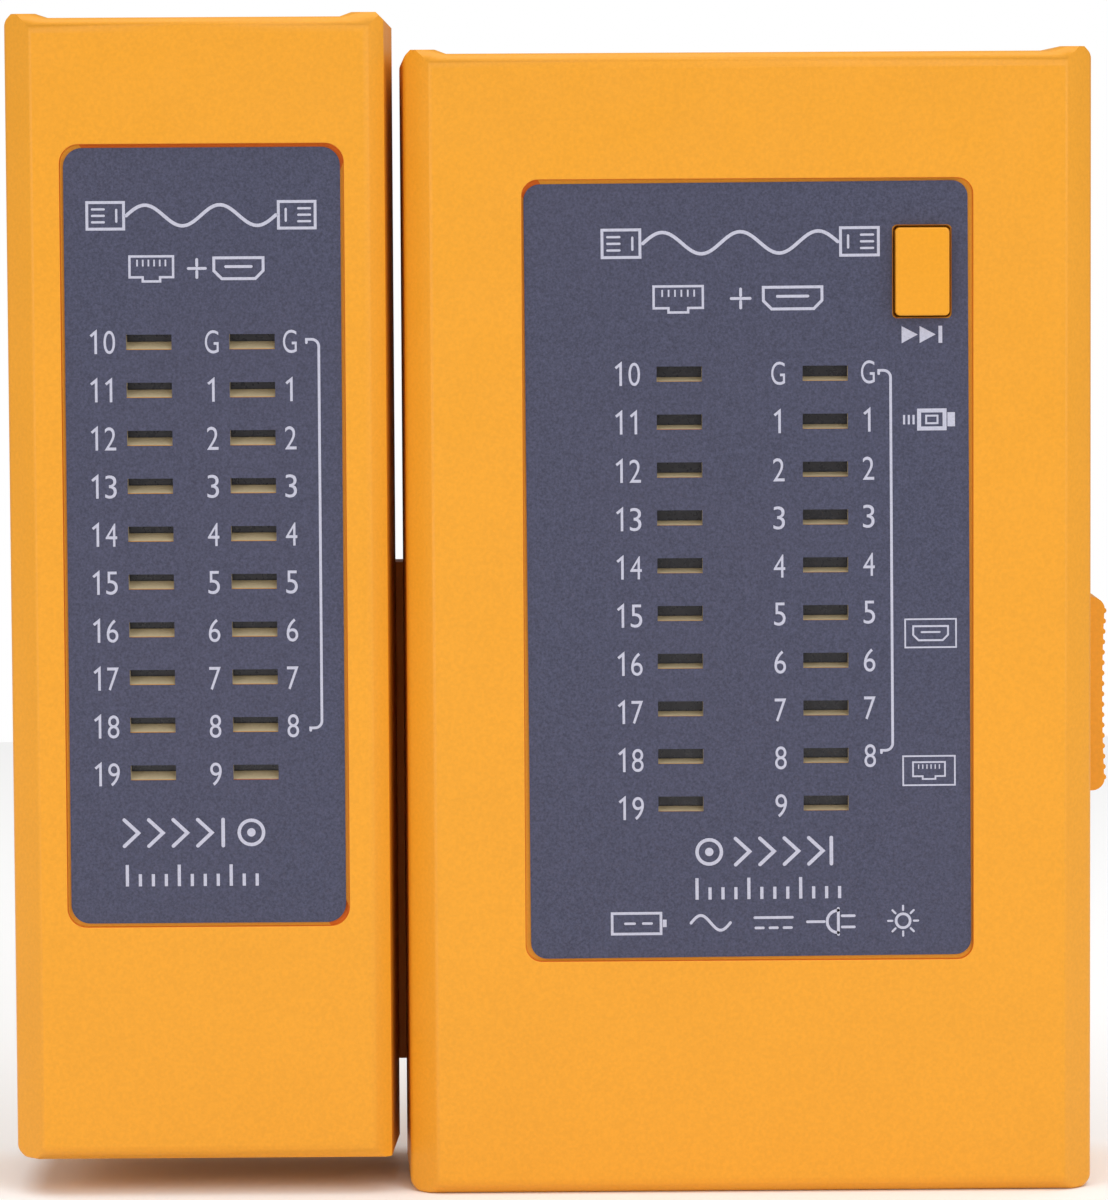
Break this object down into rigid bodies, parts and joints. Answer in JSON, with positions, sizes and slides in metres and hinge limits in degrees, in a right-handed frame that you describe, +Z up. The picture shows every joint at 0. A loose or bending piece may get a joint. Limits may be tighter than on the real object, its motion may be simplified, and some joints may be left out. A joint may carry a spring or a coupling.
{
  "type": "network cable tester",
  "caption": "Handheld network and display cable tester: a wide master unit with LED windows, push button and side slide switch, and a narrow remote unit docked on its side rail.",
  "frame": {"origin": "middle of the assembly's bounding box at the level of the master's bottom end, on which it stands", "axes": "+Z up along the cases, fronts with overlays facing -Y, remote unit towards -X, slide knob towards +X"},
  "size_m": [0.1182, 0.0328, 0.1259],
  "materials": {
    "orange_plastic": "fine spark-eroded texture, satin",
    "overlay_print": "printed film with a fine matt grain",
    "black_plastic": "moulded, matt",
    "white_plastic": "moulded, satin",
    "plated_steel": "tin plated, satin",
    "screw_steel": "zinc plated",
    "circuit_board": "solder mask, glossy",
    "led_resin": "smoky epoxy resin",
    "gold_plate": "gold plated, bright",
    "capacitor_sleeve": "shrink sleeve, glossy",
    "battery_wrap": "printed metal jacket, glossy",
    "red_insulation": "wire insulation, satin",
    "black_insulation": "wire insulation, satin"
  },
  "bodies": {
    "master": {"master_front_shell": "orange_plastic", "master_back_shell": "orange_plastic", "master_overlay": "overlay_print", "tactile_switch": "plated_steel", "slide_switch": "plated_steel", "master_board": "circuit_board", "master_leds": "led_resin", "master_chips": "black_plastic", "master_resistors": "black_plastic", "master_capacitor": "capacitor_sleeve", "master_network_socket": "black_plastic", "master_network_contacts": "gold_plate", "master_display_socket": "plated_steel", "master_display_tongue": "black_plastic", "power_inlet": "plated_steel", "power_tongue": "black_plastic", "battery": "battery_wrap", "battery_terminals": "plated_steel", "battery_snap": "black_plastic", "battery_lead_positive": "red_insulation", "battery_lead_negative": "black_insulation", "master_case_screws": "screw_steel", "master_board_screws": "screw_steel", "dock_rail": "orange_plastic", "rail_screws": "screw_steel"},
    "remote": {"remote_front_shell": "orange_plastic", "remote_back_shell": "orange_plastic", "remote_overlay": "overlay_print", "remote_board": "circuit_board", "remote_leds": "led_resin", "remote_resistors": "black_plastic", "remote_network_socket": "black_plastic", "remote_network_contacts": "gold_plate", "remote_display_socket": "plated_steel", "remote_display_tongue": "black_plastic", "remote_case_screws": "screw_steel", "remote_board_screws": "screw_steel"},
    "button": {"function_button": "orange_plastic", "switch_plunger": "black_plastic"},
    "knob": {"slide_knob": "orange_plastic", "switch_actuator": "white_plastic"},
    "door": {"battery_door": "orange_plastic"}
  },
  "joints": [
    {"name": "remote_slide", "type": "slide", "parent": "master", "child": "remote", "axis": [0, 0, 1], "range_m": [-0.004, 0.0645]},
    {"name": "button_press", "type": "slide", "parent": "master", "child": "button", "axis": [0, 1, 0], "range_m": [0, 0.0005], "stiffness_N_per_m": 2500, "springref_m": -0.0001},
    {"name": "knob_slide", "type": "slide", "parent": "master", "child": "knob", "axis": [0, 0, 1], "range_m": [-0.0025, 0.0025]},
    {"name": "door_tilt", "type": "hinge", "parent": "master", "child": "door", "pos_m": [0.02005, 0.0164, 0.0376], "axis": [1, 0, 0], "range_deg": [0, 70]}
  ]
}
